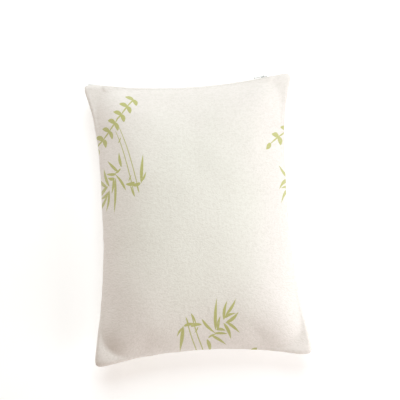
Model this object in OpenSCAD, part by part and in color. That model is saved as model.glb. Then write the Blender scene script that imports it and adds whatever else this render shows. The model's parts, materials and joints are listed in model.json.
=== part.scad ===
// Bed pillow: a zipped knit cover over a zipped liner bag filled with shredded foam.
// Millimetres. It lies flat: +Z up, X across the width, Y along the length,
// origin at the centre of its footprint on the surface that it rests on.
// The cover's zip is in the +Y end. Both zips follow arcs about one vertical axis
// outside that end, so each slider runs its zip by turning about that axis.

/* [Pillow] */
// Width between the corners, before the ears are rounded
pillow_w = 486; // [460:1:510]
// Length between the corners, before the ears are rounded
pillow_l = 636; // [600:1:660]
// Height of the crown above the surface
pillow_h = 165; // [150:1:180]
// Height of the seam above the surface
seam_z = 68; // [60:1:75]
// How far the middle of each long side draws in
side_sag = 38; // [20:1:40]
// How late the long sides flare out towards the zip's end: 2 gives an even curve
side_flare = 4; // [2:0.5:4]
// How far the middle of the zip's end draws in
end_sag = 26; // [20:1:30]
// How far the middle of the other end draws in
foot_sag = 30; // [20:1:34]
// How far the ears droop below the seam
ear_droop = 12; // [0:1:20]

/* [Fabric] */
// Thickness of the knit cover
cover_t = 1.8; // [1.5:0.1:2.2]
// Thickness of the liner cloth
liner_t = 0.8; // [0.6:0.1:1.2]
// Seam allowance turned inside the cover
cover_hem = 8; // [6:0.5:8]
// Seam allowance turned inside the liner
liner_hem = 6; // [4:0.5:6]

/* [Zips] */
// Half the length of the cover's zip, between its stops
cover_zip_half = 180; // [160:1:180]
// Half the length of the liner's zip, between its stops
liner_zip_half = 145; // [120:1:145]
// Width of the coil row on each tape
coil_d = 2.3; // [2.1:0.1:2.3]
// Width of each tape, measured from the middle of the zip
tape_w = 7; // [6:0.5:7]
// Length of the cover slider's pull tab
pull_len = 24; // [16:1:28]

/* [Fill] */
// Edge of a large foam crumb
crumb = 36; // [30:1:40]
// Share of its cell that a crumb takes up
packing = 0.84; // [0.7:0.01:0.86]

/* [Hidden] */
$fn = 48;

half_w = pillow_w / 2;
half_l = pillow_l / 2;
crown = pillow_h - seam_z;
// Depth that the underside would have if the surface didn't flatten it
keel = 1.25 * seam_z;

// Radii of the two concave ends, and how far off their centres stand
end_r = (half_w ^ 2 + end_sag ^ 2) / (2 * end_sag);
end_cy = half_l - end_sag + end_r;
foot_r = (half_w ^ 2 + foot_sag ^ 2) / (2 * foot_sag);
foot_cy = half_l - foot_sag + foot_r;

// Profile of the dome, and how square the plan is at the seam
dome_power = 2.2;
ear_power = 30;
// How late the dome thins towards the ears
ear_taper = 8;
// Where the ears start, as a fraction of half the width and length
ear_root = 0.81;
// Half the gap between the fabric edges, along a zip and along the sewn seam
gape = 3.8;
seam_gap = 0.1;

// Insets from the cover's outline: the liner bag, and the space that the crumbs fill
liner_inset = 13;
fill_inset = 23;
// Gap between the cover and the liner bag, above it and below it
liner_gap = 1.5;
// Gap between the liner bag and the crumbs, above them and below them
fill_gap = 1;

// Fractions of half a side at which the outline has a point, up to its corner
side_steps = [0, 0.17, 0.34, 0.51, 0.66, 0.77, 0.81, 0.88, 0.94, 0.98];
corner_at = len(side_steps);
quarter = 2 * corner_at;
turns = 4 * quarter;
rings = 12;

// A shell: [plan inset, height over the seam, depth under it, lowest z, zip open to, zip shut from]
COVER_OUT = [0, crown, keel, 0, 0.77, 0.81];
COVER_IN = grown(COVER_OUT, cover_t);
LINER_OUT = concat([liner_inset, crown - cover_t - liner_gap, keel - cover_t - liner_gap,
    cover_t + liner_gap], [0.66, 0.77]);
LINER_IN = grown(LINER_OUT, liner_t);
FILL = concat([fill_inset, LINER_IN[1] - fill_gap, LINER_IN[2] - fill_gap,
    LINER_IN[3] + fill_gap], [0.66, 0.77]);

// The same shell, one cloth thickness further in
function grown(s, t) = [s[0] + t, s[1] - t, s[2] - t, s[3] + t, s[4], s[5]];

// Half the width at v along the length, from -1 at the foot to 1 at the zip's end. The inset is
// square to the cover's side, which slopes
function half_width(v, inset) = let (
    a = abs(v) * (half_l - inset) / half_l,
    power = v > 0 ? side_flare : 2,
    slope = side_sag * power * a ^ (power - 1) / half_l
) half_w - side_sag * (1 - a ^ power) - inset * sqrt(1 + slope ^ 2);

// Half the length at u across the width, at the zip's end or at the foot
function half_length(u, inset, foot = false) = let (
    x = u * half_width(foot ? -1 : 1, inset),
    r = (foot ? foot_r : end_r) + inset
) (foot ? foot_cy : end_cy) - sqrt(r ^ 2 - x ^ 2);

// Direction j round the unit square, counterclockwise from the middle of the +X side
function first_quarter(k) = k <= corner_at
    ? [1, k == corner_at ? 1 : side_steps[k]]
    : [side_steps[quarter - k], 1];
function quarter_turned(p, n) = n == 0 ? p : quarter_turned([-p[1], p[0]], n - 1);
function direction(j) = quarter_turned(first_quarter(j % quarter), floor(j / quarter) % 4);

// Rings run from the crown, 0, to the seam, 1, closer together near the seam
function ring(i) = sin(90 * sin(90 * i / rings));
// The rings change from ovals to the cover's square-cornered outline
function ring_power(r) = 2 + (ear_power - 2) * r ^ 6;
function power_sum(d, n) = abs(d[0]) ^ n + abs(d[1]) ^ n;
function on_ring(d, r) = r * power_sum(d, ring_power(r)) ^ (-1 / ring_power(r)) * d;

// Height of the dome at p on ring r, 1 at the crown and 0 at the seam, thinner in the ears
function dome(p, r) = (1 - r ^ dome_power) ^ (0.5 + 0.5 * abs(p[0] * p[1]) ^ ear_taper);
// How far into an ear a coordinate is, from 0 at its root to 1 at its tip
function ear(a) = max(0, (abs(a) - ear_root) / (1 - ear_root));
function droop(p) = -ear_droop * (ear(p[0]) * ear(p[1])) ^ 2;
// How far a shell's edge stands from the seam plane: open along the zip, in the +Y end only
function zip_share(d, s) = d[1] < 1 ? 0 : max(0, min(1, (s[5] - abs(d[0])) / (s[5] - s[4])));
function opening(d, s) = seam_gap + (gape - seam_gap) * zip_share(d, s);

function plan(p, inset) =
    [p[0] * half_width(p[1], inset), p[1] * half_length(p[0], inset, p[1] < 0)];

// A point of the upper (side 1) or lower (side -1) half of shell s
function shell_point(d, r, s, side) = let (
    p = on_ring(d, r),
    flat = plan(p, s[0]),
    rise = dome(p, r),
    bulge = rise * (side > 0 ? s[1] : s[2]) + (1 - rise) * opening(d, s)
) [flat[0], flat[1], max(s[3], seam_z + droop(p) + side * bulge)];

// A point of the hem, turned in by depth, lift above or below the seam
function hem_point(d, s, side, depth, lift) = let (
    p = on_ring(d, 1),
    flat = plan(p, s[0] + depth)
) [flat[0], flat[1], seam_z + droop(p) + side * (opening(d, s) + lift)];

// The hem is left off where the tapes are sewn on
function hem_depth(d, s, hem, t) = d[1] == 1 && abs(d[0]) <= s[5] ? t : t + hem;

// Closed solid between ring outlines, with a single point at each end. A quad is cut in two
// from its first corner or, with other set, from its second, so that mirrored halves match
module lofted(outlines, first, last, other = false) {
    n = len(outlines[0]);
    m = len(outlines);
    points = concat([first], [for (o = outlines) for (p = o) p], [last]);
    faces = concat(
        [for (j = [0 : n - 1]) [0, 1 + (j + 1) % n, 1 + j]],
        [for (i = [0 : m - 2], j = [0 : n - 1]) let (a = 1 + i * n, k = (j + 1) % n)
            [a + j, a + k, a + n + (other ? j : k)]],
        [for (i = [0 : m - 2], j = [0 : n - 1]) let (a = 1 + i * n, k = (j + 1) % n)
            [a + (other ? k : j), a + n + k, a + n + j]],
        [for (j = [0 : n - 1]) let (a = 1 + (m - 1) * n) [a + j, a + (j + 1) % n, 1 + m * n]]
    );
    polyhedron(points, faces, convexity = 4);
}

// Half a bag: cloth domed from the crown to the seam, with its hem turned in flat
module bag_half(outside, inside, hem, side) {
    t = inside[0] - outside[0];
    order = [for (k = [0 : turns - 1]) side > 0 ? k : turns - 1 - k];
    outer = [for (i = [1 : rings]) [for (j = order)
        shell_point(direction(j), ring(i), outside, side)]];
    hem_rows = [for (lift = [0, t]) [for (j = order) let (d = direction(j))
        hem_point(d, outside, side, hem_depth(d, outside, hem, t), lift)]];
    inner = [for (i = [rings - 1 : -1 : 1]) [for (j = order)
        shell_point(direction(j), ring(i), inside, side)]];
    lofted(concat(outer, hem_rows, inner),
        shell_point([1, 0], 0, outside, side), shell_point([1, 0], 0, inside, side),
        other = side < 0);
}

// Overlocking thread round a bag's hem, from one end of the zip to the other
module seam_thread(s, hem, t, thread_r) {
    sides = 6;
    thread_gap = 0.3;
    // Outline points between a corner and the thread's end
    past_corner = 3;
    from = quarter + corner_at - past_corner;
    to = turns + corner_at + past_corner;
    depth = t + hem + thread_r + thread_gap;
    path = [for (j = [from : to]) hem_point(direction(j % turns), s, 1, depth, 0)];
    last = len(path) - 1;
    outlines = [for (i = [0 : last]) let (
        ahead = path[min(i + 1, last)] - path[max(i - 1, 0)],
        across = cross(ahead, [0, 0, 1]) / norm(cross(ahead, [0, 0, 1]))
    ) [for (k = [0 : sides - 1])
        path[i] + thread_r * (cos(360 * k / sides) * across + [0, 0, sin(360 * k / sides)])]];
    lofted(outlines, path[0], path[last]);
}

// ---- Zips, drawn in a frame at the zip: X along it, +Y out of the pillow, Z up ----

// Depths behind the cloth's outer face: the front of the tape, the tape, and clearances
tape_t = 0.7;
tape_gap = 1.1;
slit = 0.9;
coil_clear = 0.05;
stop_len = 2.6;
// How far a stop stands off the coil's end, and how much deeper than the coil it is
stop_gap = 0.2;
stop_lap = 0.3;
tape_tail = 8;

slider_half = 6.5;
slider_plate = 1.3;
slider_clear = 0.5;
slider_back_clear = 0.25;
// Where the plates are widest, and where the web that parts the coil rows stands
wide_from = 1.5;
wide_to = 4;
web_t = 0.7;
web_len = 3;
rail_in = 2.9;
rail_out = 3.4;
travel_gap = 1.2;
lug_r = 1.6;
lug_half = 1.5;
lug_standoff = 0.1;
pin_y = slider_clear + slider_plate + lug_r + lug_standoff;
pin_r = 0.72;
bore_r = 0.8;
pull_t = 1.2;
pull_half = 3.1;
// How far parts that are one piece run into each other
weld = 0.5;

// Where the tape's front face is, behind the outer face of cloth of thickness t
function tape_depth(t) = t + tape_gap;
function arc_angle(x, r) = asin(x / r);

// Places children on the arc of radius r, at x along it
module on_arc(r, x) {
    translate([0, end_cy, seam_z])
        rotate([0, 0, arc_angle(x, r)])
            translate([0, -r, 0])
                children();
}

// Sweeps a profile, drawn with its x as the depth behind radius r, along the arc
module along_arc(r, from, to) {
    a0 = arc_angle(from, r);
    a1 = arc_angle(to, r);
    translate([0, end_cy, seam_z])
        rotate([0, 0, a0 - 90])
            rotate_extrude(angle = a1 - a0, $fn = 240)
                translate([r, 0])
                    children();
}

module zip_tape(r, half, t, side) {
    along_arc(r, -half - tape_tail, half + tape_tail)
        translate([tape_depth(t), side > 0 ? slit / 2 : -tape_w])
            square([tape_t, tape_w - slit / 2]);
}

module zip_coil(r, half, t, side) {
    along_arc(r, -half, half)
        translate([tape_depth(t) - coil_d / 2 - coil_clear, side * (slit + coil_d) / 2])
            circle(d = coil_d);
}

// A block crimped over coil rows, from x = from to x = from + stop_len
module zip_stop(r, from, t, z_low, z_high) {
    depth = coil_d + stop_lap;
    on_arc(r, from + stop_len / 2)
        translate([-stop_len / 2, coil_clear - tape_depth(t), z_low])
            cube([stop_len, depth, z_high - z_low]);
}

module zip_top_stops(r, half, t) {
    reach = slit / 2 + coil_d;
    zip_stop(r, half + stop_gap, t, slit / 2, reach);
    zip_stop(r, half + stop_gap, t, -reach, -slit / 2);
}

module zip_bottom_stop(r, half, t) {
    reach = slit / 2 + coil_d;
    zip_stop(r, -half - stop_gap - stop_len, t, -reach, reach);
}

// Shield-shaped plate of a slider, from y = low to y = high
module slider_plate_between(low, high) {
    shoulder = 4.6;
    tail = 3.4;
    nose = 2.4;
    translate([0, high, 0])
        rotate([90, 0, 0])
            linear_extrude(high - low)
                polygon([
                    [-slider_half, -tail], [-slider_half, tail],
                    [wide_from, shoulder], [wide_to, shoulder],
                    [slider_half, nose], [slider_half, -nose],
                    [wide_to, -shoulder], [wide_from, -shoulder],
                ]);
}

module slider_body(t) {
    back_face = -(tape_depth(t) + tape_t + slider_back_clear);
    front = slider_clear;
    rail_back = 4 * coil_clear - tape_depth(t);
    difference() {
        union() {
            slider_plate_between(front, front + slider_plate);
            slider_plate_between(back_face - slider_plate, back_face);
            for (side = [-1, 1])
                translate([-slider_half, rail_back, side > 0 ? rail_in : -rail_out])
                    cube([slider_half + wide_to, front + tape_depth(t), rail_out - rail_in]);
            translate([wide_from, back_face - weld, -web_t / 2])
                cube([web_len, front - back_face + 2 * weld, web_t]);
            translate([-lug_r, front + slider_plate / 2, -lug_half])
                cube([2 * lug_r, pin_y - front - slider_plate / 2, 2 * lug_half]);
            translate([0, pin_y, -lug_half])
                cylinder(r = lug_r, h = 2 * lug_half);
        }
        translate([0, pin_y, -lug_half - 1])
            cylinder(r = bore_r, h = 2 * lug_half + 2);
    }
}

// Pull tab with its cross pin through the slider's lug, lying along the zip towards -X
module pull_tab() {
    arm_in = lug_half + 0.3;
    neck = -lug_r - 0.6;
    translate([0, pin_y, 0]) {
        translate([0, 0, -pull_half])
            cylinder(r = pin_r, h = 2 * pull_half);
        for (low = [-pull_half, arm_in]) {
            translate([0, 0, low])
                cylinder(r = pull_t * 0.75, h = pull_half - arm_in);
            translate([neck - 2 * weld, -pull_t / 2, low])
                cube([2 * weld - neck, pull_t, pull_half - arm_in]);
        }
        translate([0, pull_t / 2, 0])
            rotate([90, 0, 0])
                linear_extrude(pull_t) {
                    translate([pull_half - pull_len, -pull_half])
                        square([pull_len - pull_half + neck, 2 * pull_half]);
                    translate([pull_half - pull_len, 0])
                        circle(r = pull_half);
                }
    }
}

// ---- The zips of the two bags ----

cover_r = end_r;
liner_r = end_r + liner_inset;
cover_rest_x = cover_zip_half - slider_half - travel_gap;
liner_rest_x = liner_zip_half - slider_half - travel_gap;

// ---- Foam crumbs, on a grid of cells that follow the inside of the liner ----

crumb_pitch = crumb / packing;
grid_x = ceil(half_w / crumb_pitch);
grid_y = ceil(half_l / crumb_pitch);
layer_h = 0.8 * crumb_pitch;
layers = floor((crown + seam_z) / layer_h);

// The outermost ring that the crumbs may reach
fill_edge = 0.98;

function ring_of(p, n) = power_sum(p, n) ^ (1 / n);
// Whether a point is inside the space that the crumbs fill
function in_fill(x, y, z) = let (
    v = max(-1, min(1, y / half_length(0, FILL[0], y < 0))),
    u = min(1, abs(x) / half_w),
    p = [x / half_width(v, FILL[0]), y / half_length(u, FILL[0], y < 0)],
    r = ring_of(p, ring_power(ring_of(p, 8))),
    lift = r < 1 ? dome(p, r) : 0
) r < fill_edge && z < seam_z + droop(p) + FILL[1] * lift
    && z > max(FILL[3], seam_z + droop(p) - FILL[2] * lift);

function box_fits(c, half) = min([for (i = [-1, 1], j = [-1, 1], k = [-1, 1])
    in_fill(c[0] + i * half[0], c[1] + j * half[1], c[2] + k * half[2]) ? 1 : 0]) == 1;

// Half sizes of the three grades of crumb
function crumb_half(grade) = [0.5, 0.5, 0.4] * crumb * [1, 0.72, 0.5][grade];
// Room that a crumb needs, with its tilt
function cell_half(grade) = crumb_half(grade) / packing;
function grade_at(c) = box_fits(c, cell_half(0)) ? 0
    : box_fits(c, cell_half(1)) ? 1
    : box_fits(c, cell_half(2)) ? 2 : 3;

// One torn crumb: a block with its corners cut off by a second block
module crumb_at(c, grade, seed) {
    size = 2 * crumb_half(grade);
    cutter = 1.22 * size;
    tilt = rands(-1, 1, 3, seed);
    translate(c)
        rotate([5 * tilt[0], 5 * tilt[1], 7 * tilt[2]])
            intersection() {
                cube(size, center = true);
                rotate([38 + 6 * tilt[1], 8 * tilt[2], 42 + 6 * tilt[0]])
                    cube(cutter, center = true);
            }
}

module foam_crumbs(grade) {
    for (i = [-grid_x : grid_x], j = [-grid_y : grid_y], k = [0 : layers - 1]) {
        c = [i * crumb_pitch, j * crumb_pitch, FILL[3] + (k + 0.5) * layer_h];
        if (grade_at(c) == grade)
            crumb_at(c, grade, 7 + i + 31 * j + 977 * k);
    }
}

// ---- Nodes ----

module cover_front() { color("ivory") bag_half(COVER_OUT, COVER_IN, cover_hem, 1); }
module cover_back() { color("ivory") bag_half(COVER_OUT, COVER_IN, cover_hem, -1); }
module cover_seam_thread() { color("white") seam_thread(COVER_OUT, cover_hem, cover_t, 1.1); }

// Care label, hanging from the seam between the zip and the -X ear
module care_label() {
    label_w = 26;
    label_h = 40;
    label_t = 0.8;
    label_gap = 0.15;
    past_zip = 30;
    color("whitesmoke")
        on_arc(cover_r, -cover_zip_half - past_zip)
            translate([-label_w / 2, label_gap, -label_h])
                cube([label_w, label_t, label_h]);
}

module cover_zip_tape_upper() { color("linen") zip_tape(cover_r, cover_zip_half, cover_t, 1); }
module cover_zip_tape_lower() { color("linen") zip_tape(cover_r, cover_zip_half, cover_t, -1); }
module cover_zip_coil_upper() { color("beige") zip_coil(cover_r, cover_zip_half, cover_t, 1); }
module cover_zip_coil_lower() { color("beige") zip_coil(cover_r, cover_zip_half, cover_t, -1); }
module cover_zip_top_stops() { color("silver") zip_top_stops(cover_r, cover_zip_half, cover_t); }
module cover_zip_bottom_stop() { color("silver") zip_bottom_stop(cover_r, cover_zip_half, cover_t); }
module cover_zip_slider() { color("silver") on_arc(cover_r, cover_rest_x) slider_body(cover_t); }
module cover_zip_pull() { color("silver") on_arc(cover_r, cover_rest_x) pull_tab(); }

module liner_front() { color("white") bag_half(LINER_OUT, LINER_IN, liner_hem, 1); }
module liner_back() { color("white") bag_half(LINER_OUT, LINER_IN, liner_hem, -1); }
module liner_seam_thread() { color("white") seam_thread(LINER_OUT, liner_hem, liner_t, 0.8); }
module liner_zip_tape_upper() { color("white") zip_tape(liner_r, liner_zip_half, liner_t, 1); }
module liner_zip_tape_lower() { color("white") zip_tape(liner_r, liner_zip_half, liner_t, -1); }
module liner_zip_coil_upper() { color("white") zip_coil(liner_r, liner_zip_half, liner_t, 1); }
module liner_zip_coil_lower() { color("white") zip_coil(liner_r, liner_zip_half, liner_t, -1); }
module liner_zip_top_stops() { color("white") zip_top_stops(liner_r, liner_zip_half, liner_t); }
module liner_zip_bottom_stop() { color("white") zip_bottom_stop(liner_r, liner_zip_half, liner_t); }
module liner_zip_slider() { color("white") on_arc(liner_r, liner_rest_x) slider_body(liner_t); }

module foam_crumbs_large() { color("cornsilk") foam_crumbs(0); }
module foam_crumbs_medium() { color("lightyellow") foam_crumbs(1); }
module foam_crumbs_small() { color("palegoldenrod") foam_crumbs(2); }

cover_front();
cover_back();
cover_seam_thread();
care_label();
cover_zip_tape_upper();
cover_zip_tape_lower();
cover_zip_coil_upper();
cover_zip_coil_lower();
cover_zip_top_stops();
cover_zip_bottom_stop();
cover_zip_slider();
cover_zip_pull();
liner_front();
liner_back();
liner_seam_thread();
liner_zip_tape_upper();
liner_zip_tape_lower();
liner_zip_coil_upper();
liner_zip_coil_lower();
liner_zip_top_stops();
liner_zip_bottom_stop();
liner_zip_slider();
foam_crumbs_large();
foam_crumbs_medium();
foam_crumbs_small();
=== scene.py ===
"""A zipped bed pillow in a printed knit cover, lying on a pale floor. Metres, in the CAD frame."""
import json
import math

import bpy
import numpy as np
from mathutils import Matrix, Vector, noise
from mathutils.bvhtree import BVHTree


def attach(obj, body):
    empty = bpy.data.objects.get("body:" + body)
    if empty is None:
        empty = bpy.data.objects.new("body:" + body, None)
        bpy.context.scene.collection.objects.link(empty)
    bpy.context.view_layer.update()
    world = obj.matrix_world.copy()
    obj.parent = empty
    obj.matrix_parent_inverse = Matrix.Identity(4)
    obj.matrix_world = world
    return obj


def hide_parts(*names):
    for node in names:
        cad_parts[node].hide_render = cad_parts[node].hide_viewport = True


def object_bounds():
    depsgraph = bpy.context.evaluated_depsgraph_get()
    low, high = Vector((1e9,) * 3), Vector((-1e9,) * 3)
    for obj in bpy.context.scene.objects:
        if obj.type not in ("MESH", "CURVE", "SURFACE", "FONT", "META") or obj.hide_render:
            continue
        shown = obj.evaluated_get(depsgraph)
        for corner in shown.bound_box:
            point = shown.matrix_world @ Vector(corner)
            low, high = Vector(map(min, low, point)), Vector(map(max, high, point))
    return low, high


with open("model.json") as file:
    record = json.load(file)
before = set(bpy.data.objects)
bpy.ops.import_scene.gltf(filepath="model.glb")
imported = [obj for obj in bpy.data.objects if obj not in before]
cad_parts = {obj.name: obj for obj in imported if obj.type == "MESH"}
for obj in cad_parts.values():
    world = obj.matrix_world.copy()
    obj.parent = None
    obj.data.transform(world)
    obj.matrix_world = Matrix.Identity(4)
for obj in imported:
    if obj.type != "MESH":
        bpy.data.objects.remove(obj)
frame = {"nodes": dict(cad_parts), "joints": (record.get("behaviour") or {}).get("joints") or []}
cad_low, cad_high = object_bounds()


# ---- The pillow's outline, as in the CAD source ----

HALF_W = 0.243
HALF_L = 0.318
SIDE_SAG = 0.038
SIDE_FLARE = 4
END_SAG = 0.026
FOOT_SAG = 0.030
EAR_DROOP = 0.012
EAR_ROOT = 0.81

# The zips' arcs share one centre, which is where both zip joints turn
JOINTS = {joint["name"]: joint for joint in frame["joints"]}
END_CENTRE_Y = JOINTS["cover_zip_run"]["pos_m"][1]
SEAM_Z = JOINTS["cover_zip_run"]["pos_m"][2]
END_R = END_CENTRE_Y - (HALF_L - END_SAG)
FOOT_R = (HALF_W ** 2 + FOOT_SAG ** 2) / (2 * FOOT_SAG)
FOOT_CENTRE_Y = HALF_L - FOOT_SAG + FOOT_R
CROWN_Z = cad_high.z


def half_width(v, inset=0.0):
    """Half the width at v, from -1 at the foot to 1 at the zip's end."""
    share = np.abs(v) * (HALF_L - inset) / HALF_L
    power = np.where(v > 0, SIDE_FLARE, 2)
    slope = SIDE_SAG * power * share ** (power - 1) / HALF_L
    return HALF_W - SIDE_SAG * (1 - share ** power) - inset * np.sqrt(1 + slope ** 2)


def half_length(u, v, inset=0.0):
    """Half the length at u across the width, at the zip's end for a v above 0 or at the foot."""
    radius = np.where(v > 0, END_R, FOOT_R) + inset
    centre = np.where(v > 0, END_CENTRE_Y, FOOT_CENTRE_Y)
    x = u * half_width(np.where(v > 0, 1, -1), inset)
    return centre - np.sqrt(radius ** 2 - x ** 2)


def on_arc(along, depth, z):
    """A point along the zips' arc, depth behind the cover's edge. Takes numbers or arrays."""
    radius = END_R + depth
    turn = np.arcsin(along / END_R)
    return np.stack(np.broadcast_arrays(
        radius * np.sin(turn), END_CENTRE_Y - radius * np.cos(turn), z), axis=-1)


def ease(x):
    """0 below 0, 1 above 1 and a smooth step between."""
    x = np.clip(x, 0.0, 1.0)
    return x * x * (3 - 2 * x)


def lumps(points, size, seed):
    """Smooth noise of about one lump per size, between -1 and 1, at each point."""
    offset = Vector((7.3, 3.1, 5.7)) * seed
    flat = np.reshape(points, (-1, 3)) / size
    values = [noise.noise(Vector(point) + offset) for point in flat]
    return np.reshape(values, np.shape(points)[:-1])


# ---- Cloth panels: a flat rectangle sewn to the outline and blown out by pressure ----

FLAT_W = 0.508
FLAT_L = 0.660
CORNER_POWER = 24
# How much narrower the knit is before it stretches over the fill
KNIT_EASE = 0.985
ZIP_OPEN = 0.77
ZIP_SHUT = 0.81
ZIP_GAPE = 0.0038
COVER_T = 0.0018
LINER_T = 0.0008
LINER_INSET = 0.013
# How far the liner stands inside the cover's cloth, above and below
LAYER_GAP = 0.0015
# The share of half the length past which a point belongs to the zip's end
END_FROM = 0.9
# How square the dome is from above, and how round it is from the side
DOME_POWER = 5
DOME_ROUND = 2.2
# The share of its height at which a panel starts, before pressure fills it
DOME_START = 0.85


def panel_grid(columns, rows):
    """Shares u and v of half the width and length on a grid, with its corners rounded off."""
    u, v = np.meshgrid(np.linspace(-1, 1, columns + 1), np.linspace(-1, 1, rows + 1))
    ring = np.maximum(np.abs(u), np.abs(v))
    safe = np.maximum(ring, 1e-6)
    power = (np.abs(u / safe) ** CORNER_POWER + np.abs(v / safe) ** CORNER_POWER)
    shrink = 1 + (np.maximum(power, 1) ** (-1 / CORNER_POWER) - 1) * ring ** 4
    return u * shrink, v * shrink, ring


def ear_droop(u, v):
    """How far the seam hangs in the ears."""
    into = np.clip((np.abs(u) - EAR_ROOT) / (1 - EAR_ROOT), 0, 1)
    into_v = np.clip((np.abs(v) - EAR_ROOT) / (1 - EAR_ROOT), 0, 1)
    return -EAR_DROOP * (into * into_v) ** 2


def panel_plan(u, v, inset):
    return u * half_width(v, inset), v * half_length(u, v, inset)


class Bag:
    """The sizes of one bag: the cover or the liner."""

    def __init__(self, name, inset, thickness, zip_open, zip_shut, grid, wobble):
        self.name = name
        self.inset = inset
        self.thickness = thickness
        self.zip_open = zip_open
        self.zip_shut = zip_shut
        self.grid = grid
        self.wobble = wobble
        self.flat_w = FLAT_W - 2 * inset
        self.flat_l = FLAT_L - 2 * inset
        inward = 0.0 if inset == 0 else COVER_T + LAYER_GAP
        self.top_z = CROWN_Z - inward
        self.base_z = inward


def sewn_panel(bag, side):
    """Points of a panel before it is blown out, and its flat pattern. side is 1 above, -1 below."""
    u, v, ring = panel_grid(*bag.grid)
    x, y = panel_plan(u, v, bag.inset)
    at_end = np.where(v > END_FROM, 1.0, 0.0)
    open_share = ease((bag.zip_shut - np.abs(u)) / (bag.zip_shut - bag.zip_open)) * at_end
    gap = bag.thickness / 2 + (ZIP_GAPE - bag.thickness / 2) * open_share
    height = (bag.top_z if side > 0 else 2 * SEAM_Z) - SEAM_Z - gap
    oval = (np.abs(u) ** DOME_POWER + np.abs(v) ** DOME_POWER) ** (1 / DOME_POWER)
    dome = DOME_START * height * (1 - np.minimum(oval, 1) ** DOME_ROUND) ** 0.5
    z = SEAM_Z + ear_droop(u, v) + side * (gap + dome)
    points = np.stack([x, y, z], axis=-1)
    # The sewn edge wanders a little, apart from where the zip and the label hold it
    loose = bag.wobble * (1 - ease((0.95 - np.abs(u)) / 0.1) * at_end)
    edge = np.stack([x, y, np.zeros_like(x)], axis=-1)
    points[..., 2] += loose * 0.8 * lumps(edge, 0.09, 1)
    points[..., 0] -= np.sign(u) * loose * np.abs(lumps(edge, 0.045, 2)) * np.abs(u) ** 8
    points[..., 1] -= np.sign(v) * loose * np.abs(lumps(edge, 0.05, 3)) * np.abs(v) ** 8
    # A first unevenness, so that folds don't form in mirrored pairs
    points[..., 2] += np.where(ring < 0.999, 0.0015 * lumps(points, 0.055, 4 + side), 0)
    pattern = np.stack([u * bag.flat_w / 2, v * bag.flat_l / 2], axis=-1)
    return points, pattern, ring


def grid_quads(columns, rows, start=0, flip=False):
    """Corner indices of a grid's quads, row by row."""
    i, j = np.meshgrid(np.arange(columns), np.arange(rows))
    a = (start + j * (columns + 1) + i).ravel()
    quads = np.stack([a, a + 1, a + columns + 2, a + columns + 1], axis=-1)
    return quads[:, ::-1] if flip else quads


def mesh_object(name, points, faces, uvs=None, smooth=True):
    """A mesh object from arrays of points, faces and, per point, UV coordinates."""
    mesh = bpy.data.meshes.new(name)
    rows = faces if isinstance(faces, list) else faces.tolist()
    mesh.from_pydata(np.asarray(points).tolist(), [], rows)
    if uvs is not None:
        layer = mesh.uv_layers.new(name="cloth")
        corner = np.empty(len(mesh.loops), np.int32)
        mesh.loops.foreach_get("vertex_index", corner)
        layer.data.foreach_set("uv", np.asarray(uvs, np.float32)[corner].ravel())
    mesh.polygons.foreach_set("use_smooth", [smooth] * len(mesh.polygons))
    mesh.validate()
    obj = bpy.data.objects.new(name, mesh)
    bpy.context.scene.collection.objects.link(obj)
    return obj


SIM_FRAMES = 30
SIM_PRESSURE = 4.0


def blow_out(bag, side, points, pattern, ring):
    """Cloth simulation: the panel, pinned at its sewn edge, swells under pressure."""
    columns, rows = bag.grid
    sheet = mesh_object("sheet", points.reshape(-1, 3), grid_quads(columns, rows, flip=side < 0))
    edge = sheet.vertex_groups.new(name="sewn")
    edge.add(np.flatnonzero(ring.ravel() > 0.999).tolist(), 1.0, "REPLACE")
    sheet.shape_key_add(name="sewn shape")
    flat = sheet.shape_key_add(name="flat shape")
    cut = np.zeros((pattern.size // 2, 3))
    cut[:, :2] = pattern.reshape(-1, 2) * KNIT_EASE
    flat.data.foreach_set("co", cut.ravel())
    flat.value = 0
    cloth = sheet.modifiers.new("cloth", "CLOTH")
    settings = cloth.settings
    settings.quality = 6
    settings.mass = 0.15
    settings.air_damping = 3
    settings.tension_stiffness = 15
    settings.compression_stiffness = 4
    settings.shear_stiffness = 3
    settings.bending_stiffness = 0.3
    settings.tension_damping = settings.compression_damping = settings.shear_damping = 10
    settings.bending_damping = 0.8
    settings.vertex_group_mass = "sewn"
    settings.pin_stiffness = 1
    settings.rest_shape_key = flat
    settings.use_pressure = True
    settings.uniform_pressure_force = SIM_PRESSURE
    settings.effector_weights.gravity = 0
    cloth.collision_settings.use_collision = False
    cloth.point_cache.frame_end = SIM_FRAMES
    for step in range(1, SIM_FRAMES + 1):
        bpy.context.scene.frame_set(step)
    swollen = sheet.evaluated_get(bpy.context.evaluated_depsgraph_get()).data
    out = np.empty(len(swollen.vertices) * 3, np.float32)
    swollen.vertices.foreach_get("co", out)
    bpy.data.objects.remove(sheet)
    bpy.context.scene.frame_set(1)
    return out.reshape(points.shape).astype(float)


EASED_PASSES = 24
EASED_SHARE = 0.55


def ease_ears(points, u, v):
    """Relaxes the sharpest folds, which the simulation leaves in the ears' spare cloth."""
    share = EASED_SHARE * ease((np.abs(u * v) - 0.12) / 0.35)[1:-1, 1:-1, None]
    for _ in range(EASED_PASSES):
        middle = points[1:-1, 1:-1]
        around = (points[:-2, 1:-1] + points[2:, 1:-1] + points[1:-1, :-2] + points[1:-1, 2:]) / 4
        points[1:-1, 1:-1] = middle + share * (around - middle)
    return points


def smooth_max(values, least, soft):
    """The larger of two values, with a rounded step of about soft between them."""
    return least + soft * np.logaddexp(0, (values - least) / soft)


# How softly the underside rounds off onto the floor
FLOOR_SOFT = 0.003


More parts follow.
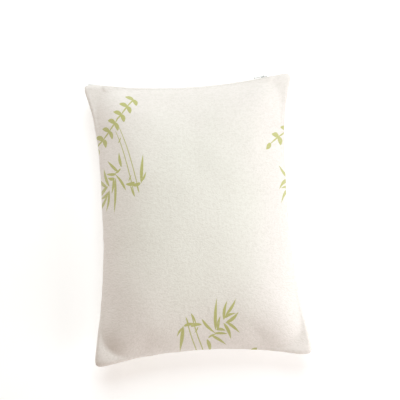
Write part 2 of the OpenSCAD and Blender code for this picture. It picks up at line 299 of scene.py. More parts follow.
def settle(bag, side, points):
    """Brings the crown to its height above the floor, or rests the underside flat on it."""
    z = points[..., 2]
    if side > 0:
        top = (z - SEAM_Z).max()
        points[..., 2] = SEAM_Z + (z - SEAM_Z) * (bag.top_z - SEAM_Z) / top
    else:
        z = smooth_max(z, bag.base_z, FLOOR_SOFT)
        near_floor = 1 - ease((z - bag.base_z) / (SEAM_Z / 2))
        points[..., 2] = z - near_floor * (z.min() - bag.base_z)
    return points


# The cloth stands at least this far off the seam's plane, just inside the seam. The thread hangs
# low in the ears, so the underside (-1) needs more room there
EDGE_ROOM = {1: 0.010, -1: 0.014}
KEEL = 1.25 * SEAM_Z
EDGE_SOFT = 0.0008


def hold_clear(bag, side, points, ring):
    """Holds the cloth clear of the zip's tapes and the seam's thread, behind its sewn edge."""
    x, y = points[..., 0], points[..., 1]
    u, v = x / HALF_W, y / HALF_L
    for _ in range(4):
        u = np.clip(x / half_width(v, bag.inset), -1, 1)
        v = np.clip(y / half_length(u, v, bag.inset), -1, 1)
    # The outline's corners are sharp at the seam, and rounder further in
    power = 8
    for _ in range(2):
        out = (np.abs(u) ** power + np.abs(v) ** power) ** (1 / power)
        power = 2 + 28 * np.minimum(out, 1) ** 6
    rise = (1 - np.minimum(out, 1) ** DOME_ROUND) ** (0.5 + 0.5 * np.abs(u * v) ** 8)
    at_end = ease((v - END_FROM) / 0.06)
    gape = ZIP_GAPE * at_end * ease((bag.zip_shut - np.abs(u)) / (bag.zip_shut - bag.zip_open))
    room = EDGE_ROOM[side]
    least = gape + room * np.tanh(KEEL * rise / room)
    seam = SEAM_Z + ear_droop(u, v)
    height = side * (points[..., 2] - seam)
    inside = ease(rise / 0.06) * ease((1 - ring) / 0.02)
    lift = smooth_max(height, least, EDGE_SOFT) - height
    points[..., 2] = seam + side * (height + inside * lift)
    return points


TUCK_GAP = 0.0014


def tuck_in(side, points, outer):
    """Keeps a panel of the liner under the panel of the cover that is outside it."""
    rows, columns = outer.shape[0] - 1, outer.shape[1] - 1
    tree = BVHTree.FromPolygons(outer.reshape(-1, 3).tolist(), grid_quads(columns, rows).tolist())
    for point in points.reshape(-1, 3):
        hit = tree.ray_cast((point[0], point[1], SEAM_Z + side), (0, 0, -side))[0]
        if hit:
            most = side * hit.z - COVER_T - TUCK_GAP
            point[2] = side * min(side * point[2], most)
    return points


def refine(grid):
    """Twice the points each way, through the old ones, by four-point interpolation."""
    for axis in (0, 1):
        grid = np.moveaxis(grid, axis, 0)
        before = np.concatenate([2 * grid[:1] - grid[1:2], grid[:-2]])
        after = np.concatenate([grid[2:], 2 * grid[-1:] - grid[-2:-1]])
        middle = (9 * (grid[:-1] + grid[1:]) - before - after) / 16
        out = np.empty((2 * len(grid) - 1, *grid.shape[1:]))
        out[0::2] = grid
        out[1::2] = middle
        grid = np.moveaxis(out, 0, axis)
    return grid


def grid_normals(points, side):
    """Unit normals of a grid, pointing out of the bag."""
    across = np.gradient(points, axis=1)
    along = np.gradient(points, axis=0)
    normal = side * np.cross(across, along)
    return normal / np.linalg.norm(normal, axis=-1, keepdims=True)


def boundary_loop(columns, rows):
    """Indices round a grid's edge, anticlockwise from its first point."""
    w = columns + 1
    bottom = np.arange(columns)
    right = columns + w * np.arange(rows)
    top = w * rows + np.arange(columns, 0, -1)
    left = w * np.arange(rows, 0, -1)
    return np.concatenate([bottom, right, top, left])


RIM_STEPS = 4


def bag_shell(name, bag, side, points, pattern):
    """Closed cloth shell under a grid of outer points, with a rounded folded edge all round."""
    rows, columns = points.shape[0] - 1, points.shape[1] - 1
    normals = grid_normals(points, side)
    outer = points.reshape(-1, 3)
    inner = (points - bag.thickness * normals).reshape(-1, 3)
    loop = boundary_loop(columns, rows)
    edge = outer[loop]
    edge_normal = normals.reshape(-1, 3)[loop]
    ahead = np.roll(edge, -1, axis=0) - np.roll(edge, 1, axis=0)
    outward = side * np.cross(ahead, edge_normal)
    outward /= np.linalg.norm(outward, axis=-1, keepdims=True)
    half = bag.thickness / 2
    centre = edge - half * edge_normal
    angles = np.pi * np.arange(1, RIM_STEPS) / RIM_STEPS
    rim = [centre + half * (math.cos(a) * edge_normal + math.sin(a) * outward) for a in angles]
    n_outer, n_loop = len(outer), len(loop)
    first = 2 * n_outer
    chains = [loop] + [first + k * n_loop + np.arange(n_loop) for k in range(len(rim))]
    chains.append(loop + n_outer)
    quads = [grid_quads(columns, rows, 0, side < 0), grid_quads(columns, rows, n_outer, side > 0)]
    for a, b in zip(chains, chains[1:]):
        strip = np.stack([a, b, np.roll(b, -1), np.roll(a, -1)], axis=-1)
        quads.append(strip if side > 0 else strip[:, ::-1])
    flat = pattern.reshape(-1, 2)
    uvs = np.concatenate([flat, flat, np.tile(flat[loop], (len(rim), 1))])
    return mesh_object(name, np.concatenate([outer, inner, *rim]), np.concatenate(quads), uvs)


LUMP_RISE = 0.0012
LUMP_SIZE = 0.06


def bag_half(name, bag, side, outer=None):
    """One finished panel of a bag, under the panel outer, and its refined grid of outer points."""
    points, pattern, ring = sewn_panel(bag, side)
    points = blow_out(bag, side, points, pattern, ring)
    u, v = pattern[..., 0] / (bag.flat_w / 2), pattern[..., 1] / (bag.flat_l / 2)
    points = ease_ears(points, u, v)
    points = settle(bag, side, points)
    # The loose foam behind the cloth makes it gently uneven, where the floor doesn't flatten it
    inside = ease((1 - ring) / 0.15) * ease((points[..., 2] - bag.base_z) / 0.03)
    points[..., 2] += side * LUMP_RISE * inside * lumps(points, LUMP_SIZE, 9)
    points = hold_clear(bag, side, points, ring)
    if outer is not None:
        points = tuck_in(side, points, outer)
    points, pattern = refine(points), refine(pattern)
    return bag_shell(name, bag, side, points, pattern), points


COVER = Bag("cover", 0.0, COVER_T, ZIP_OPEN, ZIP_SHUT, (100, 132), 0.002)
LINER = Bag("liner", LINER_INSET, LINER_T, 0.66, 0.77, (44, 58), 0.0)


# ---- Small hard parts ----

def tube(path, across, radius, sides):
    """Points and quads of a tube along path. across is a unit vector at each point of it."""
    ahead = np.gradient(path, axis=0)
    ahead /= np.linalg.norm(ahead, axis=-1, keepdims=True)
    first = across - (across * ahead).sum(-1, keepdims=True) * ahead
    first /= np.linalg.norm(first, axis=-1, keepdims=True)
    second = np.cross(ahead, first)
    turn = 2 * np.pi * np.arange(sides) / sides
    ring = np.cos(turn)[None, :, None] * first[:, None] + np.sin(turn)[None, :, None] * second[:, None]
    points = (path[:, None] + radius * ring).reshape(-1, 3)
    i, j = np.meshgrid(np.arange(sides), np.arange(len(path) - 1))
    a, b = (j * sides + i).ravel(), (j * sides + (i + 1) % sides).ravel()
    faces = np.stack([a, b, b + sides, a + sides], axis=-1).tolist()
    last = (len(path) - 1) * sides
    faces.append(list(range(sides))[::-1])
    faces.append([last + k for k in range(sides)])
    return points, faces


COIL_PITCH = 0.0014
COIL_WIRE = 0.00027
COIL_STEPS = 10
COIL_DEPTH = 0.0017
COIL_REACH = 0.00155
COIL_HEAD = 0.00035
COIL_SWAY = 0.00085


def zip_coil(name, node, side, depth, half):
    """One row of a coil zip: a long spring of monofilament, its loops locked past the middle."""
    turns = int(2 * half / COIL_PITCH)
    steps = np.arange(turns * COIL_STEPS + 1)
    phase = 2 * np.pi * steps / COIL_STEPS
    along = -half + COIL_PITCH * (steps / COIL_STEPS + (0.5 if side > 0 else 0.0))
    along = np.minimum(along, half)
    z = SEAM_Z + side * (COIL_REACH - COIL_HEAD + COIL_REACH * np.cos(phase))
    back = depth + COIL_SWAY * np.sin(phase)
    path = on_arc(along, back, z)
    points, faces = tube(path, np.tile([0.0, 1.0, 0.0], (len(path), 1)), COIL_WIRE, 6)
    row = mesh_object(name, points, faces)
    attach(row, "pillow")
    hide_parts(node)
    return row


STITCH_LENGTH = 0.0028
STITCH_PITCH = 0.0036
STITCH_R = 0.00035
# How far a stitch's ends sink into the cloth, in thread radii
STITCH_SUNK = 0.6
# Where the row of stitches lies: rows of the grid behind the edge, and half its length
STITCH_ROW = 2
STITCH_REACH = 0.186


def topstitching(name, grid, side):
    """Stitches that hold the cover's edge to a zip tape, along one row of its grid."""
    line = grid[-1 - STITCH_ROW]
    normal = grid_normals(grid, side)[-1 - STITCH_ROW]
    keep = np.abs(line[:, 0]) < STITCH_REACH
    line, normal = line[keep], normal[keep]
    run = np.concatenate([[0], np.cumsum(np.linalg.norm(np.diff(line, axis=0), axis=-1))])

    def at(distance):
        place = np.stack([np.interp(distance, run, line[:, k]) for k in range(3)], axis=-1)
        out = np.stack([np.interp(distance, run, normal[:, k]) for k in range(3)], axis=-1)
        return place, out

    points, faces = [], []
    for start in np.arange(0, run[-1] - STITCH_LENGTH, STITCH_PITCH):
        share = np.linspace(0, 1, 5)
        place, out = at(start + share * STITCH_LENGTH)
        lift = STITCH_R * ((1 + STITCH_SUNK) * np.sin(np.pi * share) - STITCH_SUNK)
        p, f = tube(place + lift[:, None] * out, out, STITCH_R, 6)
        faces += [[k + len(points) * len(p) for k in face] for face in f]
        points.append(p)
    stitches = mesh_object(name, np.concatenate(points), faces)
    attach(stitches, "pillow")
    return stitches


LABEL_W = 0.026
LABEL_DROP = 0.040
LABEL_TUCK = 0.004
LABEL_AT = -0.210
LABEL_T = 0.00025
# Half the gap between the ribbon's two layers
LABEL_GAP = 0.00035
# How tightly the ribbon turns down out of the seam, how far it leans back towards the cloth, how
# far it waves on its way down, and how far its edges curl
LABEL_BEND = 0.0015
LABEL_LEAN = 0.0045
LABEL_WAVE = 0.0012
LABEL_CURL = 0.0012


def care_label():
    """Blank satin ribbon, folded in half and sewn into the seam by its ends."""
    bend = LABEL_BEND
    arc = np.linspace(0, np.pi / 2, 5)
    down = np.linspace(0, 1, 13)[1:]
    # How far out of the seam and above it the middle of the folded ribbon is, from its ends down
    middle = np.concatenate([
        [[-LABEL_TUCK, 0.0], [-LABEL_TUCK / 2, 0.0]],
        np.stack([bend * np.sin(arc), bend * (np.cos(arc) - 1)], axis=-1),
        np.stack([bend - LABEL_LEAN * down + LABEL_WAVE * np.sin(1.6 * np.pi * down),
                  -bend - (LABEL_DROP - bend) * down], axis=-1)])
    ahead = np.gradient(middle, axis=0)
    ahead /= np.linalg.norm(ahead, axis=-1, keepdims=True)
    off = LABEL_GAP * np.stack([-ahead[:, 1], ahead[:, 0]], axis=-1)
    turn = np.linspace(0, np.pi, 7)[1:-1, None]
    fold = middle[-1] + np.cos(turn) * off[-1] + LABEL_GAP * np.sin(turn) * ahead[-1]
    profile = np.concatenate([middle + off, fold, (middle - off)[::-1]])
    columns = 12
    across = np.linspace(-LABEL_W / 2, LABEL_W / 2, columns + 1)
    drop = np.clip(-profile[:, 1] / LABEL_DROP, 0, 1)
    depth = -(profile[:, :1] + LABEL_CURL * np.outer(drop ** 2, (2 * across / LABEL_W) ** 2))
    along = LABEL_AT + across[None, :]
    points = on_arc(along, depth, SEAM_Z + profile[:, 1:] + ear_droop(along / HALF_W, 1.0))
    rows = len(profile) - 1
    flat_l = 2 * (LABEL_DROP + LABEL_TUCK)
    pattern = np.stack(np.meshgrid(across, np.linspace(0, flat_l, rows + 1)), axis=-1)
    label = mesh_object("care_label_ribbon", points.reshape(-1, 3), grid_quads(columns, rows),
                        pattern.reshape(-1, 2))
    solid = label.modifiers.new("thickness", "SOLIDIFY")
    solid.thickness = LABEL_T
    solid.offset = 0
    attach(label, "pillow")
    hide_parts("care_label")
    return label


# ---- Material nodes ----

class Graph:
    """Short ways to add nodes to a tree. An input is a number, a tuple or an output socket."""

    def __init__(self, tree):
        self.tree = tree

    def node(self, kind, inputs=None, **settings):
        made = self.tree.nodes.new(kind)
        for key, value in settings.items():
            setattr(made, key, value)
        for key, value in (inputs or {}).items():
            if isinstance(value, bpy.types.NodeSocket):
                self.tree.links.new(value, made.inputs[key])
            else:
                made.inputs[key].default_value = value
        return made

    def math(self, operation, *values, clamp=False):
        inputs = dict(enumerate(values))
        return self.node("ShaderNodeMath", inputs, operation=operation, use_clamp=clamp).outputs[0]

    def vector(self, operation, *values):
        made = self.node("ShaderNodeVectorMath", dict(enumerate(values)), operation=operation)
        return made.outputs["Value" if operation in ("LENGTH", "DOT_PRODUCT") else "Vector"]

    def ramp(self, value, low, high, to_low=0.0, to_high=1.0, smooth=True):
        inputs = {"Value": value, "From Min": low, "From Max": high, "To Min": to_low, "To Max": to_high}
        kind = "SMOOTHSTEP" if smooth else "LINEAR"
        return self.node("ShaderNodeMapRange", inputs, interpolation_type=kind).outputs["Result"]

    def noise(self, vector, scale, detail=2.0, roughness=0.5, distortion=0.0):
        inputs = {"Vector": vector, "Scale": scale, "Detail": detail, "Roughness": roughness,
                  "Distortion": distortion}
        return self.node("ShaderNodeTexNoise", inputs).outputs["Fac"]

    def mix(self, share, a, b):
        made = self.node("ShaderNodeMix", {0: share}, data_type="RGBA")
        for socket, value in ((made.inputs[6], a), (made.inputs[7], b)):
            if isinstance(value, bpy.types.NodeSocket):
                self.tree.links.new(value, socket)
            else:
                socket.default_value = (*value, 1.0)
        return made.outputs[2]

    def bump(self, height, distance, strength=1.0, normal=None):
        inputs = {"Height": height, "Distance": distance, "Strength": strength}
        if normal is not None:
            inputs["Normal"] = normal
        return self.node("ShaderNodeBump", inputs).outputs["Normal"]


def material(name, roughness=0.9, metallic=0.0, sheen=0.0):
    """A new material, its graph and its shader, with the constants set on the shader."""
    made = bpy.data.materials.new(name)
    made.use_nodes = True
    shader = made.node_tree.nodes["Principled BSDF"]
    shader.inputs["Roughness"].default_value = roughness
    shader.inputs["Metallic"].default_value = metallic
    shader.inputs["Sheen Weight"].default_value = sheen
    shader.inputs["Sheen Roughness"].default_value = 0.5
    return made, Graph(made.node_tree), shader


def place_of(graph):
    """Position in the row frame: every node's object sits at the origin."""
    return graph.node("ShaderNodeTexCoord").outputs["Object"]


# Brush strokes of one printed sprig, in millimetres from the stalks' joint with x to the right and
# y up: where the stroke starts and ends, its widest, how far its middle bows to its left, and how
# fast it tapers: 1 for a leaf, near 0 for a stalk
STALKS = [
    (-15, 22, 27, -138, 2.6, -3, 0.15), (-2, 30, 38, -126, 2.7, -3, 0.15),
    (-15, 22, -8, -2, 3.6, 0, 0.8), (-2, 30, 9, 0, 4.2, 1, 0.8),
    (26, -110, 36, -97, 3.0, 1, 0.4), (12, -6, 3, -21, 3.0, 1, 0.5),
]
JOINT_LEAVES = [
    (-20, 0, 5, 3, 7.5, 2, 0.5), (-4, -2, 21, 0, 8.0, 2, 0.5),
    (-22, 1, -32, -68, 8.0, 1, 0.9), (-22, -3, -37, -27, 5.0, -2, 0.9),
]
BRANCH_LEAVES = [
    (52, -17, 61, 65, 7.0, 2, 0.9), (73, 9, 86, 59, 6.5, 3, 0.9), (78, 21, 107, 63, 6.0, -2, 0.9),
    (72, 13, 104, 27, 6.5, 3, 0.9), (76, 1, 110, 31, 7.5, -3, 0.9), (78, 5, 107, -25, 7.0, 2, 0.9),
    (72, 2, 85, -42, 7.5, 3, 0.9), (57, -17, 66, 20, 6.5, 2, 0.9), (54, -15, 75, -18, 7.0, 2, 0.6),
    (22, 14, 54, -27, 6.5, -3, 0.9), (49, -25, 79, -27, 6.5, 1, 0.8), (41, -29, 74, -58, 7.0, 1, 0.9),
    (34, -37, 53, -27, 4.5, 2, 0.6), (31, -40, 36, -76, 8.0, 2, 0.9),
]
# A trailing vine, in place of the word in the real print
VINE_PAIRS = 7
VINE_FROM = (-24, -212)
VINE_TO = (127, -76)
VINE_ARCH = 9
VINE_STEM_W = 3.6
VINE_LEAF = 21
VINE_LEAF_W = 11
VINE_SPLAY = 58


def vine():
    """An arched stem with pairs of short leaves, as strokes."""
    (x0, y0), (x1, y1) = VINE_FROM, VINE_TO
    heading = math.atan2(y1 - y0, x1 - x0)
    shares = [k / VINE_PAIRS for k in range(VINE_PAIRS + 1)]
    arch = [VINE_ARCH * math.sin(math.pi * share) for share in shares]
    stem = [(x0 + (x1 - x0) * share - rise * math.sin(heading),
             y0 + (y1 - y0) * share + rise * math.cos(heading))
            for share, rise in zip(shares, arch)]
    strokes = [(*a, *b, VINE_STEM_W, 0.3, 0.25) for a, b in zip(stem, stem[1:])]
    for x, y in stem[:-1]:
        for turn in (VINE_SPLAY, -VINE_SPLAY):
            angle = heading + math.radians(turn)
            strokes.append((x, y, x + VINE_LEAF * math.cos(angle), y + VINE_LEAF * math.sin(angle),
                            VINE_LEAF_W, math.copysign(1.5, turn), 0.7))
    x, y = stem[-1]
    strokes.append((x, y, x + VINE_LEAF * math.cos(heading), y + VINE_LEAF * math.sin(heading),
                    VINE_LEAF_W, 0.0, 0.7))
    return strokes


# Where the print's motifs repeat on the cloth: one hangs upside down, and one stands upright
REPEAT_ACROSS = (0.500, 0.000)
REPEAT_DOWN = (0.250, -0.820)
HUNG_AT = (-0.157, 0.081)
UPRIGHT_AT = (-0.021, -0.263)
# Middle and half size of the box round a motif's strokes
MOTIF_MIDDLE = (0.055, -0.075)
MOTIF_HALF = (0.100, 0.145)


def stroke_group():
    """Node group: how far a point is inside one tapering, bowed brush stroke, in metres."""
    tree = bpy.data.node_groups.new("brush_stroke", "ShaderNodeTree")
    for name, kind in (("Point", "Vector"), ("Start", "Vector"), ("Turn", "Float"),
                       ("Length", "Float"), ("Half width", "Float"), ("Bow", "Float"),
                       ("Taper", "Float")):
        tree.interface.new_socket(name, in_out="INPUT", socket_type=f"NodeSocket{kind}")
    tree.interface.new_socket("Inside", in_out="OUTPUT", socket_type="NodeSocketFloat")
    graph = Graph(tree)
    given = graph.node("NodeGroupInput").outputs
    away = graph.vector("SUBTRACT", given["Point"], given["Start"])
    turned = graph.node("ShaderNodeVectorRotate", {"Vector": away, "Angle": given["Turn"]},
                        rotation_type="Z_AXIS").outputs[0]
    parts = graph.node("ShaderNodeSeparateXYZ", {0: turned}).outputs
    share = graph.math("DIVIDE", parts["X"], given["Length"], clamp=True)
    late = graph.math("POWER", share, 0.75)
    profile = graph.math("SINE", graph.math("MULTIPLY", late, math.pi), clamp=True)
    taper = graph.math("POWER", profile, given["Taper"])
    arch = graph.math("SINE", graph.math("MULTIPLY", share, math.pi))
    bowed = graph.math("SUBTRACT", parts["Y"], graph.math("MULTIPLY", arch, given["Bow"]))
    width = graph.math("MULTIPLY", taper, given["Half width"])
    inside = graph.math("SUBTRACT", width, graph.math("ABSOLUTE", bowed))
    graph.node("NodeGroupOutput", {"Inside": inside})
    return tree


def nearest_motif(graph, cloth, middle):
    """Offset of a point from the nearest repeat of a motif whose middle is given."""
    (ax, ay), (dx, dy) = REPEAT_ACROSS, REPEAT_DOWN
    area = ax * dy - ay * dx
    away = graph.vector("SUBTRACT", cloth, (*middle, 0))
    across = graph.vector("DOT_PRODUCT", away, (dy / area, -dx / area, 0))
    down = graph.vector("DOT_PRODUCT", away, (-ay / area, ax / area, 0))
    whole = [graph.math("ROUND", share) for share in (across, down)]
    for count, step in zip(whole, (REPEAT_ACROSS, REPEAT_DOWN)):
        shift = graph.node("ShaderNodeVectorMath", {0: (*step, 0), "Scale": count}, operation="SCALE")
        away = graph.vector("SUBTRACT", away, shift.outputs["Vector"])
    return away


def motif_point(graph, cloth):
    """Coordinates in the nearest motif, in metres from its stalks' joint."""
    middle = Vector(MOTIF_MIDDLE)
    hung = nearest_motif(graph, cloth, Vector(HUNG_AT) - middle)
    upright = nearest_motif(graph, cloth, Vector(UPRIGHT_AT) + middle)
    sizes = [graph.vector("LENGTH", graph.vector("DIVIDE", offset, (*MOTIF_HALF, 1)))
             for offset in (hung, upright)]
    flipped = graph.vector("MULTIPLY", hung, (-1, -1, 0))
    choice = graph.math("LESS_THAN", sizes[1], sizes[0])
    pick = graph.node("ShaderNodeMix", {0: choice, 4: flipped, 5: upright}, data_type="VECTOR")
    return graph.vector("ADD", pick.outputs[1], (*MOTIF_MIDDLE, 0))


# How much wider a stroke is than its brush
INK_SPREAD = 1.12


def print_mask(graph, cloth, shift):
    """1 where the sprigs are printed and 0 on the plain knit, with edges as ragged as its stitches."""
    group = stroke_group()
    ragged = graph.node("ShaderNodeTexNoise", {"Vector": cloth, "Scale": 520.0, "Detail": 1.0})
    jitter = graph.vector("SUBTRACT", ragged.outputs["Color"], (0.5, 0.5, 0.5))
    jitter = graph.node("ShaderNodeVectorMath", {0: jitter, "Scale": 0.0011}, operation="SCALE")
    place = graph.vector("ADD", graph.vector("ADD", cloth, (*shift, 0)), jitter.outputs["Vector"])
    point = motif_point(graph, place)
    inside = None
    for x0, y0, x1, y1, width, bow, taper in [*STALKS, *JOINT_LEAVES, *BRANCH_LEAVES, *vine()]:
        inputs = {
            "Point": point, "Start": (x0 / 1000, y0 / 1000, 0),
            "Turn": -math.atan2(y1 - y0, x1 - x0),
            "Length": math.hypot(x1 - x0, y1 - y0) / 1000,
            "Half width": INK_SPREAD * width / 2000, "Bow": bow / 1000, "Taper": taper,
        }
        found = graph.node("ShaderNodeGroup", inputs, node_tree=group).outputs[0]
        inside = found if inside is None else graph.math("MAXIMUM", inside, found)
    return graph.ramp(inside, -0.0001, 0.0005)


KNIT_PALE = (0.840, 0.825, 0.755)
# Painted shade for the hollows between the pebbles
KNIT_HOLLOW_SHADE = (0.730, 0.700, 0.635)
# Warm, darker tone of the painted shade towards the seams, also used for random blotches
KNIT_SHADE_AND_BLOTCH = (0.855, 0.805, 0.765)
INK = (0.500, 0.505, 0.175)
# One stitch of the fine knit, across and along
WALE = 0.0021
COURSE = 0.0024


def knit_material(name, shift):
    """Cloque jersey: irregular raised pebbles over fine wales, with printed sprigs."""
    made, graph, shader = material(name, roughness=0.88, sheen=0.25)
    cloth = graph.node("ShaderNodeUVMap", uv_map="cloth").outputs[0]
    stretched = graph.vector("MULTIPLY", cloth, (0.62, 1.0, 1.0))
    pebbles = graph.noise(stretched, 300.0, detail=2.5, roughness=0.55, distortion=0.6)
    puffs = graph.noise(stretched, 135.0, detail=1.0, distortion=0.4)
    relief = graph.math("ADD", graph.math("MULTIPLY", pebbles, 0.65), graph.math("MULTIPLY", puffs, 0.35))
    parts = graph.node("ShaderNodeSeparateXYZ", {0: cloth}).outputs
    wales = graph.math("SINE", graph.math("MULTIPLY", parts["X"], 2 * math.pi / WALE))
    courses = graph.math("SINE", graph.math("MULTIPLY", parts["Y"], 2 * math.pi / COURSE))
    stitches = graph.math("MULTIPLY", wales, courses)
    ink = print_mask(graph, cloth, shift)
    # Painted shade: warmer, pinker and a little darker towards the seams, broken up by random blotches of
    # uneven tone
    away = graph.vector("LENGTH", graph.vector("DIVIDE", cloth, (FLAT_W / 2, FLAT_L / 2, 1)))
    blotch = graph.math("MULTIPLY", graph.noise(cloth, 7.0, detail=2.0), 0.5)
    seam_shade_and_blotch = graph.ramp(graph.math("ADD", away, blotch), 0.65, 1.30)
    base = graph.mix(seam_shade_and_blotch, KNIT_PALE, KNIT_SHADE_AND_BLOTCH)
    # Painted shade: the knit is darker where its relief is low, in the hollows that the bump also sinks
    base = graph.mix(graph.ramp(relief, 0.60, 0.36, 0.0, 0.45), base, KNIT_HOLLOW_SHADE)
    cover = graph.math("MULTIPLY", ink, graph.ramp(pebbles, 0.20, 0.50, 0.72, 0.97))
    graph.tree.links.new(graph.mix(cover, base, INK), shader.inputs["Base Color"])
    rough = graph.ramp(relief, 0.3, 0.7, 0.95, 0.82)
    graph.tree.links.new(rough, shader.inputs["Roughness"])
    fine = graph.bump(stitches, 0.00010, 0.5)
    coarse = graph.bump(relief, 0.0016, 0.70, fine)
    graph.tree.links.new(coarse, shader.inputs["Normal"])
    return made


def woven_material(name, colour, shade, pitch, relief, sheen=0.15):
    """Plain weave of the given thread pitch, for the liner and the tapes."""
    made, graph, shader = material(name, roughness=0.85, sheen=sheen)
    place = place_of(graph)
    parts = graph.node("ShaderNodeSeparateXYZ", {0: place}).outputs
    warp, weft, rise = [graph.math("SINE", graph.math("MULTIPLY", parts[axis], 2 * math.pi / pitch))
                        for axis in ("X", "Y", "Z")]
    weave = graph.math("MULTIPLY", warp, graph.math("ADD", weft, rise))
    slubs = graph.noise(graph.vector("MULTIPLY", place, (1.0, 0.15, 1.0)), 900.0, detail=3.0)
    tone = graph.math("ADD", graph.math("MULTIPLY", weave, 0.25), slubs)
    graph.tree.links.new(graph.mix(graph.ramp(tone, 0.2, 0.9), shade, colour), shader.inputs["Base Color"])
    graph.tree.links.new(graph.bump(weave, relief, 0.7), shader.inputs["Normal"])
    return made


def satin_material():
    """Smooth white ribbon with fine lengthwise threads and a soft gloss."""
    made, graph, shader = material("label_satin", roughness=0.42, sheen=0.3)
    cloth = graph.node("ShaderNodeUVMap", uv_map="cloth").outputs[0]
    threads = graph.noise(graph.vector("MULTIPLY", cloth, (1.0, 0.04, 1.0)), 2500.0, detail=2.0)
    graph.tree.links.new(graph.mix(threads, (0.80, 0.80, 0.79), (0.90, 0.90, 0.89)),
                         shader.inputs["Base Color"])
    graph.tree.links.new(graph.ramp(threads, 0.3, 0.7, 0.34, 0.5), shader.inputs["Roughness"])
    graph.tree.links.new(graph.bump(threads, 0.00005, 0.5), shader.inputs["Normal"])
    return made


def thread_material():
    """Twisted polyester sewing thread."""
    made, graph, shader = material("sewing_thread", roughness=0.6, sheen=0.2)
    place = place_of(graph)
    twist = graph.node("ShaderNodeTexWave", {"Vector": place, "Scale": 700.0, "Distortion": 1.0},
                       bands_direction="DIAGONAL").outputs["Fac"]
    # Painted shade: the thread is darker in the grooves of its twist, where the bump also sinks
    graph.tree.links.new(graph.mix(twist, (0.66, 0.64, 0.58), (0.84, 0.82, 0.77)),
                         shader.inputs["Base Color"])
    graph.tree.links.new(graph.bump(twist, 0.00008, 0.6), shader.inputs["Normal"])
    return made


def coil_material():
    """Off-white nylon monofilament, a little glossy, dulled in patches by handling."""
    made, graph, shader = material("zip_coil_nylon", roughness=0.35)
    place = place_of(graph)
    patches = graph.noise(place, 120.0, detail=3.0)
    graph.tree.links.new(graph.mix(patches, (0.70, 0.68, 0.62), (0.82, 0.80, 0.75)),
                         shader.inputs["Base Color"])
    graph.tree.links.new(graph.ramp(patches, 0.3, 0.7, 0.28, 0.45), shader.inputs["Roughness"])
    return made


def metal_material(name, bright, dull, metallic, roughness):
    """Nickel plate or enamel: fine scratches, and duller patches where fingers rub it."""
    made, graph, shader = material(name, roughness=roughness, metallic=metallic)
    place = place_of(graph)
    rubbed = graph.noise(place, 110.0, detail=2.0, roughness=0.5)
    scratches = graph.noise(graph.vector("MULTIPLY", place, (0.12, 1.0, 1.0)), 6000.0, detail=2.0)
    graph.tree.links.new(graph.mix(graph.ramp(rubbed, 0.35, 0.7), bright, dull),
                         shader.inputs["Base Color"])
    graph.tree.links.new(graph.ramp(rubbed, 0.3, 0.7, roughness - 0.04, roughness + 0.06),
                         shader.inputs["Roughness"])
    graph.tree.links.new(graph.bump(scratches, 0.00002, 0.5), shader.inputs["Normal"])
    return made


def foam_material(name, colour, shade):
    """Open-cell foam: round pores of several sizes."""
    made, graph, shader = material(name, roughness=0.95, sheen=0.1)
    place = place_of(graph)
    cells = graph.node("ShaderNodeTexVoronoi", {"Vector": place, "Scale": 900.0}, feature="F1")
    pores = cells.outputs["Distance"]
    patches = graph.noise(place, 60.0, detail=4.0)
    tone = graph.math("MULTIPLY", graph.ramp(pores, 0.1, 0.6), graph.ramp(patches, 0.2, 0.8, 0.6, 1.0))
    graph.tree.links.new(graph.mix(tone, shade, colour), shader.inputs["Base Color"])
    graph.tree.links.new(graph.bump(pores, 0.0006, 0.9), shader.inputs["Normal"])
    return made


def give(obj, made):
    """Puts one material on every slot of a piece."""
    if not obj.data.materials:
        obj.data.materials.append(made)
    for k in range(len(obj.material_slots)):
        obj.material_slots[k].material = made


# ---- Putting the pillow together ----

COVER_ZIP_HALF = 0.180
LINER_ZIP_HALF = 0.145
BACK_PRINT_SHIFT = (0.150, -0.120)

thread = thread_material()
tape_weave = woven_material("zip_tape_weave", (0.80, 0.78, 0.73), (0.62, 0.60, 0.55), 0.0010, 0.0002)
liner_weave = woven_material("liner_weave", (0.85, 0.85, 0.83), (0.72, 0.72, 0.70), 0.0009, 0.00015)
coil_nylon = coil_material()
nickel = metal_material("nickel_plate", (0.50, 0.49, 0.47), (0.44, 0.43, 0.41), 1.0, 0.27)
enamel = metal_material("white_enamel", (0.86, 0.86, 0.84), (0.80, 0.80, 0.77), 0.0, 0.30)
foams = {
    "foam_crumbs_large": foam_material("foam_cream", (0.86, 0.80, 0.62), (0.62, 0.54, 0.36)),
    "foam_crumbs_medium": foam_material("foam_white", (0.88, 0.87, 0.83), (0.66, 0.65, 0.60)),
    "foam_crumbs_small": foam_material("foam_tan", (0.80, 0.68, 0.42), (0.55, 0.44, 0.24)),
}

grids = {}
for bag, slot_name, looks in (
        (COVER, "cover_knit", {1: knit_material("knit_upper", (0, 0)),
                               -1: knit_material("knit_lower", BACK_PRINT_SHIFT)}),
        (LINER, "liner_cloth", {1: liner_weave, -1: liner_weave})):
    for side, half_name in ((1, "front"), (-1, "back")):
        node = f"{bag.name}_{half_name}"
        panel, grids[node] = bag_half(f"{node}_cloth", bag, side, grids.get(f"cover_{half_name}"))
        give(panel, looks[side])
        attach(panel, "pillow")
        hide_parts(node)

for side, row in ((1, "upper"), (-1, "lower")):
    coil = zip_coil(f"cover_zip_teeth_{row}", f"cover_zip_coil_{row}", side, COIL_DEPTH, COVER_ZIP_HALF)
    give(coil, coil_nylon)
    coil = zip_coil(f"liner_zip_teeth_{row}", f"liner_zip_coil_{row}", side,
                    LINER_INSET + COIL_DEPTH - (COVER_T - LINER_T), LINER_ZIP_HALF)
    give(coil, coil_nylon)
    half_name = "front" if side > 0 else "back"
    stitching = topstitching(f"cover_zip_stitches_{row}", grids[f"cover_{half_name}"], side)
    give(stitching, thread)

give(care_label(), satin_material())

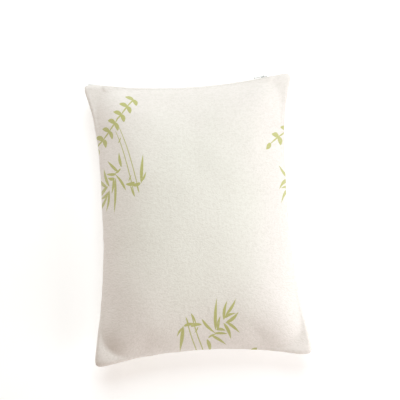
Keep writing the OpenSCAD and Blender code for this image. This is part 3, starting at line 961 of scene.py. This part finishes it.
for name, node in frame["nodes"].items():
    if node.hide_render:
        continue
    if name.startswith("foam_crumbs"):
        give(node, foams[name])
        continue
    metal = enamel if name.startswith("liner") else nickel
    looks = {"thread": thread, "tape": tape_weave, "stop": metal, "slider": metal, "pull": metal}
    give(node, next(look for word, look in looks.items() if word in name))
    if looks["slider"] in [slot.material for slot in node.material_slots]:
        bevel = node.modifiers.new("soft edges", "BEVEL")
        bevel.width = 0.00022
        bevel.segments = 3
        bevel.angle_limit = math.radians(35)


# ---- Stage, light and camera ----

def plane(name, size, z):
    """A square sheet for the floor."""
    half = size / 2
    corners = [(-half, -half, z), (half, -half, z), (half, half, z), (-half, half, z)]
    return mesh_object(name, corners, [[0, 1, 2, 3]], smooth=False)


def area_light(name, place, target, size, power, colour):
    data = bpy.data.lights.new(name, "AREA")
    data.energy = power
    data.size = size
    data.color = colour
    lamp = bpy.data.objects.new(name, data)
    lamp.location = place
    lamp.rotation_euler = (Vector(target) - Vector(place)).to_track_quat("-Z", "Y").to_euler()
    bpy.context.scene.collection.objects.link(lamp)


floor = plane("floor", 12.0, 0.0)
paint, graph, shader = material("floor_paint", roughness=0.95)
speckle = graph.noise(place_of(graph), 30.0)
graph.tree.links.new(graph.mix(speckle, (0.93, 0.93, 0.93), (0.95, 0.95, 0.95)),
                     shader.inputs["Base Color"])
shader.inputs["Emission Color"].default_value = (1.0, 1.0, 1.0, 1.0)
shader.inputs["Emission Strength"].default_value = 0.25
give(floor, paint)

SKY = (1.0, 0.84, 0.72, 1.0)
SKY_STRENGTH = 0.46
LIT_POINT = (0.0, 0.0, 0.08)
LAMP_SIZE = 1.4

world = bpy.data.worlds.new("studio")
bpy.context.scene.world = world
world.use_nodes = True
world.node_tree.nodes["Background"].inputs["Color"].default_value = SKY
world.node_tree.nodes["Background"].inputs["Strength"].default_value = SKY_STRENGTH

area_light("low_right", (1.85, -0.86, 0.90), LIT_POINT, LAMP_SIZE, 28.0, (0.889, 0.943, 1.0))
area_light("high_far", (0.0, 1.47, 1.71), LIT_POINT, LAMP_SIZE, 32.0, (0.813, 0.941, 1.0))

CAMERA_AZIMUTH = -3.4
CAMERA_ELEVATION = 84.9
CAMERA_DISTANCE = 1.47
CAMERA_LENS = 60.0
# How far the view's middle is from the pillow's, to the right and up
AIM_RIGHT = 0.010
AIM_UP = 0.0385

turn, tilt = math.radians(CAMERA_AZIMUTH), math.radians(CAMERA_ELEVATION)
back = Vector((math.sin(turn) * math.cos(tilt), -math.cos(turn) * math.cos(tilt), math.sin(tilt)))
right = Vector((math.cos(turn), math.sin(turn), 0))
up = back.cross(right)
camera = bpy.data.objects.new("camera", bpy.data.cameras.new("camera"))
camera.data.lens = CAMERA_LENS
bpy.context.scene.collection.objects.link(camera)
camera.location = Vector((0, 0, SEAM_Z)) + AIM_RIGHT * right + AIM_UP * up + CAMERA_DISTANCE * back
camera.rotation_mode = "QUATERNION"
camera.rotation_quaternion = back.to_track_quat("Z", "Y")
bpy.context.scene.camera = camera
bpy.context.scene.view_settings.view_transform = "Standard"
